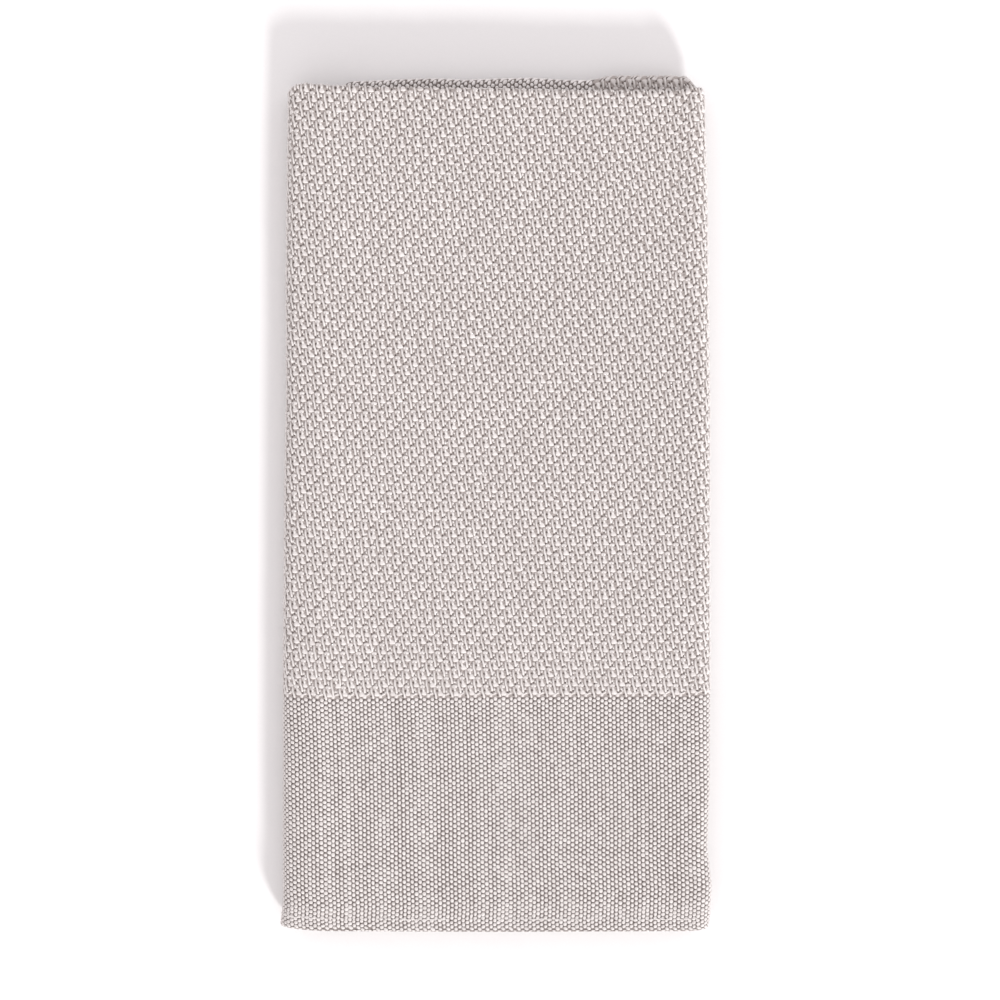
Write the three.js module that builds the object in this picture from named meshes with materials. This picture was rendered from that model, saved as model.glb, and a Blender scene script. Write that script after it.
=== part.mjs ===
// Folded bath towel: one woven cloth, folded in thirds across its length and then in thirds
// across its width, lying flat. Millimetres, +Z up, +Y towards the crosswise fold at the top,
// +X to the right of someone who looks down on it. The origin is the middle of its footprint.
import * as THREE from "three";

// Cloth
const CLOTH = 1.8; // thickness of the woven cloth
const HEM_DEPTH = 5.5; // how far each end is turned in
const HEM_STEP = 0.8; // the cloth comes down from the hem's thickness to its own over this
const HEM_EXTRA = 0.8; // what the turned hem adds at the end that lies free
const PRESSED_HEM_EXTRA = 0.3; // the same at the end that lies pressed between layers

// Folded size
const FOLDED_WIDTH = 205;
const FOLDED_LENGTH = 409.5;
const LAYER_GAP = 0.4; // air between two layers of one bundle
const BUNDLE_GAP = 0.8; // air between two bundles

// Crosswise folds, made first: the cloth goes up, down and up again
const HEM_PAST_FOLD = 6.6; // the front hem reaches past the lower crosswise fold by this much
const BACK_END_SHORT = 16; // the hidden end stops this far below the top fold

// Lengthwise folds, made second: the right third goes under, then the left third under both
const LEFT_FOLD_RADIUS = 6; // middle layer
const LEFT_SLOPE_DEG = 12; // the top eases down to the left fold, past the flap's edge
const EASE_RADIUS = 20;
const LOWER_FLAP_EDGE_X = 92; // woven edge of the lowest third, middle layer
const INNER_FLAP_EDGE_X = -74; // woven edge of the third inside, middle layer

// Worked out from these
const LAYER_PITCH = CLOTH + LAYER_GAP;
const BUNDLE = 3 * CLOTH + 2 * LAYER_GAP;
const BUNDLE_PITCH = BUNDLE + BUNDLE_GAP;
const CROSS_FOLD_RADIUS = LAYER_PITCH / 2;
const CROSS_FOLD_REACH = CROSS_FOLD_RADIUS + CLOTH / 2;
const RIGHT_FOLD_RADIUS = BUNDLE_PITCH / 2;
const HALF_WIDTH = FOLDED_WIDTH / 2;
const HALF_LENGTH = FOLDED_LENGTH / 2;
const LOWER_FLAP_Z = BUNDLE / 2;

// Steps of the mesh along each stretch of the two fold paths
const STEPS = {
  hem: 1,
  panel: 9,
  crossFold: 6,
  flap: 7,
  leftFold: 8,
  slope: 1,
  ease: 2,
  front: 11,
  rightFold: 7,
  inner: 10,
};

// What the back of the cloth stands further out by, at the stations that end these stretches
const HEM_EXTRA_AT = { hem: HEM_EXTRA, pressedStep: PRESSED_HEM_EXTRA, pressedHem: PRESSED_HEM_EXTRA };

// Where the top fold and the bottom edge wander, in mm up from their straight lines, at
// distances across the cloth from the woven edge of the lowest third.
const TOP_LINE = [
  { across: 0, rise: -3 },
  { across: 180, rise: -3 },
  { across: 190, rise: -2.2 },
  { across: 196, rise: -1.2 },
  { across: 200, rise: 0.2 },
  { across: 205, rise: 0.9 },
  { across: 208, rise: 0.2 },
  { across: 212, rise: -0.1 },
  { across: 218, rise: -0.8 },
  { across: 225, rise: -0.8 },
  { across: 242, rise: -1.6 },
  { across: 252, rise: -1.5 },
  { across: 271, rise: -2.1 },
  { across: 300, rise: -2.3 },
  { across: 338, rise: -3.1 },
  { across: 388, rise: -3.1 },
  { across: 394, rise: -1.4 },
  { across: 398, rise: -1.6 },
  { across: 400, rise: -3 },
  { across: 402, rise: -1.2 },
  { across: 403.2, rise: 0.8 },
  { across: 404.7, rise: 3.4 },
  { across: 407, rise: 5 },
  { across: 414, rise: 5.5 },
  { across: 444, rise: 5.5 },
  { across: 456, rise: 3.2 },
  { across: 470, rise: 3.5 },
  { across: 484, rise: 4.4 },
  { across: 500, rise: 4.1 },
  { across: 518, rise: 3.4 },
  { across: 533, rise: 4.2 },
  { across: 548, rise: 3.8 },
  { across: 565, rise: 3 },
  { across: 580, rise: 2.6 },
];
const BOTTOM_LINE = [
  { across: 0, rise: 1.6 },
  { across: 190, rise: 1.6 },
  { across: 199, rise: 1.3 },
  { across: 206, rise: 0.6 },
  { across: 218, rise: 0.1 },
  { across: 300, rise: -0.3 },
  { across: 360, rise: -0.1 },
  { across: 392, rise: 0.1 },
  { across: 400, rise: 1.2 },
  { across: 403, rise: 1.9 },
  { across: 414, rise: 2 },
  { across: 580, rise: 2 },
];

// Where the two lengthwise folds wander, in mm to the right of their straight lines, at
// heights up the folded towel from its middle.
const LEFT_LINE = [
  { along: -204, shift: -2.2 },
  { along: -192, shift: -0.9 },
  { along: -150, shift: -1 },
  { along: -100, shift: -1 },
  { along: 0, shift: -0.3 },
  { along: 60, shift: 0.6 },
  { along: 110, shift: 0.4 },
  { along: 204, shift: 1.5 },
];
const RIGHT_LINE = [
  { along: -204, shift: 0.5 },
  { along: -196, shift: 1.3 },
  { along: -184, shift: 2 },
  { along: -165, shift: 0 },
  { along: -137, shift: 1.1 },
  { along: -90, shift: 1.3 },
  { along: 60, shift: 1 },
  { along: 150, shift: -0.1 },
  { along: 204, shift: -1.5 },
];

// Soft swells and hollows of the stack: how much higher or lower it lies there, as a share of
// its height, and how far each one reaches.
const SWELLS = [
  { x: -60, y: 150, reach: 60, share: 0.03 },
  { x: 70, y: 60, reach: 70, share: 0.025 },
  { x: -20, y: -30, reach: 80, share: -0.03 },
  { x: 60, y: -130, reach: 60, share: -0.02 },
  { x: -60, y: -150, reach: 60, share: 0.03 },
  { x: 10, y: 215, reach: 50, share: 0.03 },
];

// Reads a wandering line at one place, straight between its rows.
function readLine(rows, key, value, at) {
  if (at <= rows[0][key]) return rows[0][value];
  for (let i = 1; i < rows.length; i += 1) {
    const low = rows[i - 1];
    const high = rows[i];
    if (at <= high[key]) {
      const share = (at - low[key]) / (high[key] - low[key]);
      return THREE.MathUtils.lerp(low[value], high[value], share);
    }
  }
  return rows[rows.length - 1][value];
}

// Walks a fold path in its own plane. A row is a straight run, or a turn about a radius with
// its angle in degrees, negative to the right. Each station keeps its place, its heading, its
// distance walked, and the row and share of the row that it stands at.
function walk(start, rows) {
  const stations = [];
  const place = new THREE.Vector2(start.a, start.b);
  let heading = THREE.MathUtils.degToRad(start.headingDeg);
  let walked = 0;
  const note = (row, share) => {
    stations.push({ a: place.x, b: place.y, heading, walked, row: row.name, share });
  };
  note(rows[0], 0);
  for (const row of rows) {
    const turn = THREE.MathUtils.degToRad(row.turnDeg || 0) / row.steps;
    const step = row.run ? row.run / row.steps : 2 * row.radius * Math.sin(Math.abs(turn) / 2);
    for (let i = 1; i <= row.steps; i += 1) {
      heading += turn / 2;
      place.x += step * Math.cos(heading);
      place.y += step * Math.sin(heading);
      heading += turn / 2;
      walked += row.run ? step : Math.abs(turn) * row.radius;
      note(row, i / row.steps);
    }
  }
  return stations;
}

// The crosswise accordion, as (place up the towel, height in the bundle), from the free hem
// at the bottom to the hidden one.
function accordion() {
  const foldTop = HALF_LENGTH - CROSS_FOLD_REACH;
  const foldBottom = -HALF_LENGTH + HEM_PAST_FOLD + CROSS_FOLD_REACH;
  const backEnd = HALF_LENGTH - BACK_END_SHORT;
  const rows = [
    { name: "hem", run: HEM_DEPTH, steps: STEPS.hem },
    { name: "hemStep", run: HEM_STEP, steps: STEPS.hem },
    { name: "front", run: foldTop + HALF_LENGTH - HEM_DEPTH - HEM_STEP, steps: STEPS.panel },
    { name: "topFold", turnDeg: -180, radius: CROSS_FOLD_RADIUS, steps: STEPS.crossFold },
    { name: "middle", run: foldTop - foldBottom, steps: STEPS.panel },
    { name: "bottomFold", turnDeg: 180, radius: CROSS_FOLD_RADIUS, steps: STEPS.crossFold },
    { name: "back", run: backEnd - HEM_DEPTH - HEM_STEP - foldBottom, steps: STEPS.panel },
    { name: "pressedStep", run: HEM_STEP, steps: STEPS.hem },
    { name: "pressedHem", run: HEM_DEPTH, steps: STEPS.hem },
  ];
  return walk({ a: -HALF_LENGTH, b: LAYER_PITCH, headingDeg: 0 }, rows);
}

// The lengthwise folds of a bundle's middle layer, as (place across the towel, height), from
// the woven edge of the lowest third to that of the third inside.
function thirds() {
  const slope = THREE.MathUtils.degToRad(LEFT_SLOPE_DEG);
  const leftFoldX = -HALF_WIDTH + LEFT_FOLD_RADIUS + BUNDLE / 2;
  const foldClimb = LEFT_FOLD_RADIUS * (1 + Math.cos(slope));
  const easeClimb = EASE_RADIUS * (1 - Math.cos(slope));
  const climb = 2 * BUNDLE_PITCH - foldClimb - easeClimb;
  const slopeRun = climb / Math.sin(slope);
  const slopeEndX =
    leftFoldX + (EASE_RADIUS - LEFT_FOLD_RADIUS) * Math.sin(slope) + slopeRun * Math.cos(slope);
  const rightFoldX = HALF_WIDTH - RIGHT_FOLD_RADIUS - BUNDLE / 2;
  const rows = [
    { name: "lowerFlap", run: LOWER_FLAP_EDGE_X - leftFoldX, steps: STEPS.flap },
    { name: "leftFold", turnDeg: LEFT_SLOPE_DEG - 180, radius: LEFT_FOLD_RADIUS, steps: STEPS.leftFold },
    { name: "slope", run: slopeRun, steps: STEPS.slope },
    { name: "ease", turnDeg: -LEFT_SLOPE_DEG, radius: EASE_RADIUS, steps: STEPS.ease },
    { name: "frontThird", run: rightFoldX - slopeEndX, steps: STEPS.front },
    { name: "rightFold", turnDeg: -180, radius: RIGHT_FOLD_RADIUS, steps: STEPS.rightFold },
    { name: "innerFlap", run: rightFoldX - INNER_FLAP_EDGE_X, steps: STEPS.inner },
  ];
  return walk({ a: LOWER_FLAP_EDGE_X, b: LOWER_FLAP_Z, headingDeg: 180 }, rows);
}

// How far a flap's point moves across for each mm that its layer lies further out: an outer
// layer spends more of its width in the folds, so its woven edge ends sooner.
function drawIn(station) {
  if (station.row === "lowerFlap") return -Math.PI * (1 - station.share);
  if (station.row === "innerFlap") return Math.PI * station.share;
  return 0;
}

// Height of the stack at one place, as a share of its plain height.
function swellAt(x, y) {
  return SWELLS.reduce((sum, s) => {
    const away = Math.hypot(x - s.x, y - s.y) / s.reach;
    return sum + s.share * Math.exp(-away * away);
  }, 1);
}

// One point of the towel: a station across it, a place up it with a height in the bundle, and
// the height of the middle of the layer that it belongs to.
function pointOf(station, along, height, layer) {
  const x = station.a - height * Math.sin(station.heading) + layer * drawIn(station);
  const z = station.b + height * Math.cos(station.heading);
  const upShare = (along + HALF_LENGTH) / FOLDED_LENGTH;
  const rightShare = (x + HALF_WIDTH) / FOLDED_WIDTH;
  const top = readLine(TOP_LINE, "across", "rise", station.walked);
  const bottom = readLine(BOTTOM_LINE, "across", "rise", station.walked);
  const left = readLine(LEFT_LINE, "along", "shift", along);
  const right = readLine(RIGHT_LINE, "along", "shift", along);
  return new THREE.Vector3(
    x + THREE.MathUtils.lerp(left, right, rightShare),
    along + THREE.MathUtils.lerp(bottom, top, upShare),
    z * swellAt(x, along),
  );
}

// Depth of the cloth behind its middle: more where a hem is turned in.
function backDepth(station) {
  return CLOTH / 2 + (HEM_EXTRA_AT[station.row] || 0);
}

// The cloth as one closed surface: its face, its back, and the four narrow edges.
function towelGeometry() {
  const across = thirds();
  const up = accordion();
  const points = [];
  const indexOf = (i, j, side) => 2 * (i * up.length + j) + side;
  for (const station of across) {
    for (const place of up) {
      for (const depth of [CLOTH / 2, -backDepth(place)]) {
        const along = place.a - depth * Math.sin(place.heading);
        const height = place.b + depth * Math.cos(place.heading);
        points.push(pointOf(station, along, height, place.b));
      }
    }
  }
  const triangles = [];
  const quad = (a, b, c, d) => triangles.push(a, b, c, a, c, d);
  const lastAcross = across.length - 1;
  const lastUp = up.length - 1;
  for (let i = 0; i < lastAcross; i += 1) {
    for (let j = 0; j < lastUp; j += 1) {
      quad(indexOf(i, j, 0), indexOf(i + 1, j, 0), indexOf(i + 1, j + 1, 0), indexOf(i, j + 1, 0));
      quad(indexOf(i, j, 1), indexOf(i, j + 1, 1), indexOf(i + 1, j + 1, 1), indexOf(i + 1, j, 1));
    }
    quad(indexOf(i, 0, 0), indexOf(i, 0, 1), indexOf(i + 1, 0, 1), indexOf(i + 1, 0, 0));
    quad(
      indexOf(i, lastUp, 0),
      indexOf(i + 1, lastUp, 0),
      indexOf(i + 1, lastUp, 1),
      indexOf(i, lastUp, 1),
    );
  }
  for (let j = 0; j < lastUp; j += 1) {
    quad(indexOf(0, j, 0), indexOf(0, j + 1, 0), indexOf(0, j + 1, 1), indexOf(0, j, 1));
    quad(
      indexOf(lastAcross, j, 0),
      indexOf(lastAcross, j, 1),
      indexOf(lastAcross, j + 1, 1),
      indexOf(lastAcross, j + 1, 0),
    );
  }
  const geometry = new THREE.BufferGeometry().setFromPoints(points);
  geometry.setIndex(triangles);
  geometry.computeBoundingBox();
  const middle = geometry.boundingBox.getCenter(new THREE.Vector3());
  geometry.translate(-middle.x, -middle.y, -geometry.boundingBox.min.z);
  geometry.computeVertexNormals();
  return geometry;
}

const towel = new THREE.Mesh(
  towelGeometry(),
  new THREE.MeshStandardMaterial({ color: 0xcfc8c4, roughness: 0.95, metalness: 0 }),
);
towel.name = "towel_cloth";

const foldedTowel = new THREE.Group();
foldedTowel.add(towel);

export default foldedTowel;
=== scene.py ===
"""Folded bath towel: flat-woven cotton, folded in thirds both ways and lying on a pale floor.

Every yarn is placed on the flat cloth first, in millimetres: across from the woven edge of the
lowest third, up from the free hem, and deep towards the face that shows. FoldPlan then folds
the flat cloth as the frame's solid is folded, and carries the yarns with it.
"""
import logging
import math
from dataclasses import dataclass, field
from enum import Enum

import bpy
import numpy as np
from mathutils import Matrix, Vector


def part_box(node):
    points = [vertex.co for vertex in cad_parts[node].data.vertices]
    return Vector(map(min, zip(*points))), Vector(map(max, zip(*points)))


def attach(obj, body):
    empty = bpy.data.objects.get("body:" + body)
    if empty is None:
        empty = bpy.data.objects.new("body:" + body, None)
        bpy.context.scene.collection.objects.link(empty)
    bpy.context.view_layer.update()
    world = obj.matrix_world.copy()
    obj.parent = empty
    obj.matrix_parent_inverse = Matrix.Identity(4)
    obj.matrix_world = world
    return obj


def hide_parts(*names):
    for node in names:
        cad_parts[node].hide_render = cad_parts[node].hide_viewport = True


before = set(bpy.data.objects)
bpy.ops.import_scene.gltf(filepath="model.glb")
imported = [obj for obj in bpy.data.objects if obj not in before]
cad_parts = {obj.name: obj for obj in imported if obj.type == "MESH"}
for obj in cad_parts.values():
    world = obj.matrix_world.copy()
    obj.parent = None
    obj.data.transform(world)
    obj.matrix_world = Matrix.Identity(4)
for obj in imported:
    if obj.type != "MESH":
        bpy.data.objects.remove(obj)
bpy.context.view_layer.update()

Array = np.ndarray
Value = float | bpy.types.NodeSocket
Colour = tuple[float, float, float, float]
Spine = tuple[tuple[float, float, float, float], ...]

MM = 0.001
CLOTH_NODE = "towel_cloth"
BODY = "root"
LEAST_TONE = 0.6
# (share of the outline, share of the rise) of the rings that a dome of yarn has over its foot
DOME_RINGS = ((0.88, 0.70), (0.62, 0.96))

log = logging.getLogger("folded_towel")


# Folding


@dataclass(frozen=True)
class Stretch:
    """One row of a fold path: a straight run, or a turn about a radius.

    Attributes:
        run: length of a straight run on the middle layer.
        turn_deg: how far a turn goes, negative to the right.
        radius: radius of a turn on the middle layer.
        pull: how far the row's start and end lie across for each mm that a layer lies out.
    """

    run: float = 0.0
    turn_deg: float = 0.0
    radius: float = 0.0
    pull: tuple[float, float] = (0.0, 0.0)

    @property
    def length(self) -> float:
        """Length of the row on the middle layer."""
        return self.run or self.radius * abs(math.radians(self.turn_deg))


@dataclass
class PathPlaces:
    """Where points stand on a fold path, each field with one number a point."""

    a: Array
    b: Array
    heading: Array
    walked: Array
    pull: Array


class FoldPath:
    """A path that the cloth follows in one plane, made of straight runs and turns."""

    def __init__(
        self, start: tuple[float, float], heading_deg: float, rows: list[Stretch]
    ) -> None:
        """Walks the rows once and keeps where each one starts.

        Args:
            start: first point of the path.
            heading_deg: direction in which the path sets out.
            rows: the stretches in order.
        """
        self.rows = rows
        self.starts: list[tuple[float, float, float, float]] = []
        a, b, heading, walked = *start, math.radians(heading_deg), 0.0
        for row in rows:
            self.starts.append((a, b, heading, walked))
            a, b, heading = self._along(row, a, b, heading, 1.0)
            walked += row.length
        self.total = walked

    @staticmethod
    def _along(row: Stretch, a: float, b: float, heading: float, share: Value) -> tuple:
        """Goes a share of one row.

        Args:
            row: the stretch.
            a: first coordinate of its start.
            b: second coordinate of its start.
            heading: direction at its start, in radians.
            share: how much of the row is gone, one number or an array.

        Returns:
            The two coordinates and the heading there.
        """
        if row.run:
            gone = row.run * share
            return a + gone * math.cos(heading), b + gone * math.sin(heading), heading + 0 * gone
        turned = heading + math.radians(row.turn_deg) * share
        side = math.copysign(row.radius, row.turn_deg)
        middle = a - side * math.sin(heading), b + side * math.cos(heading)
        return middle[0] + side * np.sin(turned), middle[1] - side * np.cos(turned), turned

    def _length(self, index: int, layer: Array) -> Array:
        """Length of one row for layers that lie further out.

        Args:
            index: which row.
            layer: how far out each layer lies.

        Returns:
            The row's length on each of the layers.
        """
        row = self.rows[index]
        if row.run:
            gain = (row.pull[1] - row.pull[0]) * math.cos(self.starts[index][2])
        else:
            gain = -math.radians(row.turn_deg)
        return row.length + layer * gain

    def distance(self, index: int, share: float, layer: Array) -> Array:
        """Distance on the cloth at a share of one row.

        Args:
            index: which row.
            share: how much of the row is gone.
            layer: how far out each layer lies.

        Returns:
            The distance from the path's start on each of the layers.
        """
        before = sum((self._length(i, layer) for i in range(index)), np.zeros_like(layer))
        return before + share * self._length(index, layer)

    def places(self, distance: Array, layer: Array) -> PathPlaces:
        """Finds where points of the cloth stand on the path.

        Args:
            distance: distance of each point from the start, measured on the cloth.
            layer: how far out the layer of each point lies.

        Returns:
            Their places on the path.
        """
        found = PathPlaces(*(np.zeros_like(distance) for _ in range(5)))
        begun = np.zeros_like(distance)
        for index, row in enumerate(self.rows):
            length = self._length(index, layer)
            inside = np.ones(distance.shape, bool)
            if index:
                inside &= distance >= begun
            if index < len(self.rows) - 1:
                inside &= distance < begun + length
            share = ((distance - begun) / length)[inside]
            a, b, heading, walked = self.starts[index]
            found.a[inside], found.b[inside], found.heading[inside] = self._along(
                row, a, b, heading, share
            )
            found.walked[inside] = walked + share * row.length
            found.pull[inside] = row.pull[0] + (row.pull[1] - row.pull[0]) * share
            begun = begun + length
        return found


@dataclass(frozen=True)
class Swell:
    """A soft swell or hollow of the stack: where it is, how far it reaches, and how high."""

    x: float
    y: float
    reach: float
    share: float


@dataclass
class FoldPlan:
    """How the flat cloth is folded, with the sizes that the frame's solid has, in mm."""

    cloth: float = 1.8
    hem_depth: float = 5.5
    hem_step: float = 0.8
    hem_extra: float = 0.8
    pressed_hem_extra: float = 0.3
    # How far in from the solid's edge the hem ends
    hem_edge_up: float = 0.45
    width: float = 205.0
    length: float = 409.5
    layer_gap: float = 0.4
    bundle_gap: float = 0.8
    hem_past_fold: float = 6.6
    back_end_short: float = 16.0
    left_fold_radius: float = 6.0
    left_slope_deg: float = 12.0
    ease_radius: float = 20.0
    lower_flap_edge_x: float = 92.0
    inner_flap_edge_x: float = -74.0
    # (distance across the cloth, rise) of the top fold and of the bottom edge
    top_line: tuple[tuple[float, float], ...] = (
        (0, -3), (180, -3), (190, -2.2), (196, -1.2), (200, 0.2), (205, 0.9), (208, 0.2),
        (212, -0.1), (218, -0.8), (225, -0.8), (242, -1.6), (252, -1.5), (271, -2.1), (300, -2.3),
        (338, -3.1), (388, -3.1), (394, -1.4), (398, -1.6), (400, -3), (402, -1.2), (403.2, 0.8),
        (404.7, 3.4), (407, 5), (414, 5.5), (444, 5.5), (456, 3.2), (470, 3.5), (484, 4.4),
        (500, 4.1), (518, 3.4), (533, 4.2), (548, 3.8), (565, 3), (580, 2.6),
    )  # fmt: skip
    bottom_line: tuple[tuple[float, float], ...] = (
        (0, 1.6), (190, 1.6), (199, 1.3), (206, 0.6), (218, 0.1), (300, -0.3), (360, -0.1),
        (392, 0.1), (400, 1.2), (403, 1.9), (414, 2), (580, 2),
    )  # fmt: skip
    # (height up the towel from its middle, shift to the right) of the two lengthwise folds
    left_line: tuple[tuple[float, float], ...] = (
        (-204, -2.2), (-192, -0.9), (-150, -1), (-100, -1), (0, -0.3), (60, 0.6), (110, 0.4),
        (204, 1.5),
    )  # fmt: skip
    right_line: tuple[tuple[float, float], ...] = (
        (-204, 0.5), (-196, 1.3), (-184, 2), (-165, 0), (-137, 1.1), (-90, 1.3), (60, 1),
        (150, -0.1), (204, -1.5),
    )  # fmt: skip
    swells: tuple[Swell, ...] = (
        Swell(-60, 150, 60, 0.03),
        Swell(70, 60, 70, 0.025),
        Swell(-20, -30, 80, -0.03),
        Swell(60, -130, 60, -0.02),
        Swell(-60, -150, 60, 0.03),
        Swell(10, 215, 50, 0.03),
    )
    shift: Array = field(default_factory=lambda: np.zeros(3))

    def __post_init__(self) -> None:
        """Works out the two fold paths, then sets the towel into the frame's box."""
        self.pitch = self.cloth + self.layer_gap
        self.bundle = 3 * self.cloth + 2 * self.layer_gap
        self.bundle_pitch = self.bundle + self.bundle_gap
        self.up = self._accordion()
        self.across = self._thirds()
        self.cloth_width = self.across.total
        self.cloth_length = self.up.total
        low, high = (np.array(corner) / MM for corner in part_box(CLOTH_NODE))
        points = np.concatenate([self.place(*grid) for grid in self._outside()])
        own_low, own_high = points.min(axis=0), points.max(axis=0)
        self.shift = (low + high - own_low - own_high) / 2
        self.shift[2] = low[2] - own_low[2]

    def _accordion(self) -> FoldPath:
        """The crosswise folds, as place up the towel and height in its bundle.

        Returns:
            The path of the middle layer.
        """
        fold_radius = self.pitch / 2
        reach = fold_radius + self.cloth / 2
        fold_top = self.length / 2 - reach
        fold_bottom = -self.length / 2 + self.hem_past_fold + reach
        back_end = self.length / 2 - self.back_end_short
        rows = [
            Stretch(run=fold_top + self.length / 2),
            Stretch(turn_deg=-180, radius=fold_radius),
            Stretch(run=fold_top - fold_bottom),
            Stretch(turn_deg=180, radius=fold_radius),
            Stretch(run=back_end - fold_bottom),
        ]
        return FoldPath((-self.length / 2, self.pitch), 0, rows)

    def _thirds(self) -> FoldPath:
        """The lengthwise folds of a bundle's middle layer, as place across and height.

        Returns:
            The path of the middle layer.
        """
        slope = math.radians(self.left_slope_deg)
        left_x = -self.width / 2 + self.left_fold_radius + self.bundle / 2
        fold_climb = self.left_fold_radius * (1 + math.cos(slope))
        ease_climb = self.ease_radius * (1 - math.cos(slope))
        slope_run = (2 * self.bundle_pitch - fold_climb - ease_climb) / math.sin(slope)
        turns = (self.ease_radius - self.left_fold_radius) * math.sin(slope)
        slope_end_x = left_x + turns + slope_run * math.cos(slope)
        right_radius = self.bundle_pitch / 2
        right_x = self.width / 2 - right_radius - self.bundle / 2
        rows = [
            Stretch(run=self.lower_flap_edge_x - left_x, pull=(-math.pi, 0)),
            Stretch(turn_deg=self.left_slope_deg - 180, radius=self.left_fold_radius),
            Stretch(run=slope_run),
            Stretch(turn_deg=-self.left_slope_deg, radius=self.ease_radius),
            Stretch(run=right_x - slope_end_x),
            Stretch(turn_deg=-180, radius=right_radius),
            Stretch(run=right_x - self.inner_flap_edge_x, pull=(0, math.pi)),
        ]
        return FoldPath((self.lower_flap_edge_x, self.bundle / 2), 180, rows)

    def _outside(self) -> list[tuple[Array, Array, Array]]:
        """Points of the solid's own two faces, to find its box: grids of the flat cloth.

        Returns:
            For each face, places across and up and depths.
        """
        across, up = np.meshgrid(
            np.linspace(0, self.cloth_width, 600), np.linspace(0, self.cloth_length, 600)
        )
        face = np.full(across.size, self.cloth / 2)
        return [(across.ravel(), up.ravel(), face), (across.ravel(), up.ravel(), -face)]

    def layer_of(self, up: Array) -> Array:
        """How far out in its bundle the cloth lies, at places up the flat cloth."""
        return self.up.places(up, np.zeros_like(up)).b

    def stack_height(self, x: Array, y: Array) -> Array:
        """Height of the stack there, as a share of its plain height.

        Args:
            x: place across the folded towel.
            y: place up the folded towel.

        Returns:
            The share, 1 where the stack neither swells nor sinks.
        """
        height = np.ones_like(x)
        for swell in self.swells:
            away = np.hypot(x - swell.x, y - swell.y) / swell.reach
            height += swell.share * np.exp(-(away**2))
        return height

    def place(self, across: Array, up: Array, depth: Array) -> Array:
        """Folds points of the flat cloth.

        Args:
            across: distance from the woven edge of the lowest third.
            up: distance from the free hem.
            depth: distance from the middle of the cloth towards the face that shows.

        Returns:
            Their places in the frame, in mm, one row a point.
        """
        rise = self.up.places(up, np.zeros_like(up))
        along = rise.a - depth * np.sin(rise.heading)
        height = rise.b + depth * np.cos(rise.heading)
        side = self.across.places(across, rise.b)
        x = side.a - height * np.sin(side.heading) + rise.b * side.pull
        z = side.b + height * np.cos(side.heading)
        up_share = along / self.length + 0.5
        right_share = x / self.width + 0.5
        top = np.interp(side.walked, *zip(*self.top_line))
        bottom = np.interp(side.walked, *zip(*self.bottom_line))
        left = np.interp(along, *zip(*self.left_line))
        right = np.interp(along, *zip(*self.right_line))
        moved = [
            x + left + (right - left) * right_share,
            along + bottom + (top - bottom) * up_share,
            z * self.stack_height(x, along),
        ]
        return np.stack(moved, axis=1) + self.shift


# The weave on the flat cloth


class Weave(Enum):
    """The two weaves of the towel."""

    PLAIN = "plain border"
    LATTICE = "lattice centre"


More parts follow.
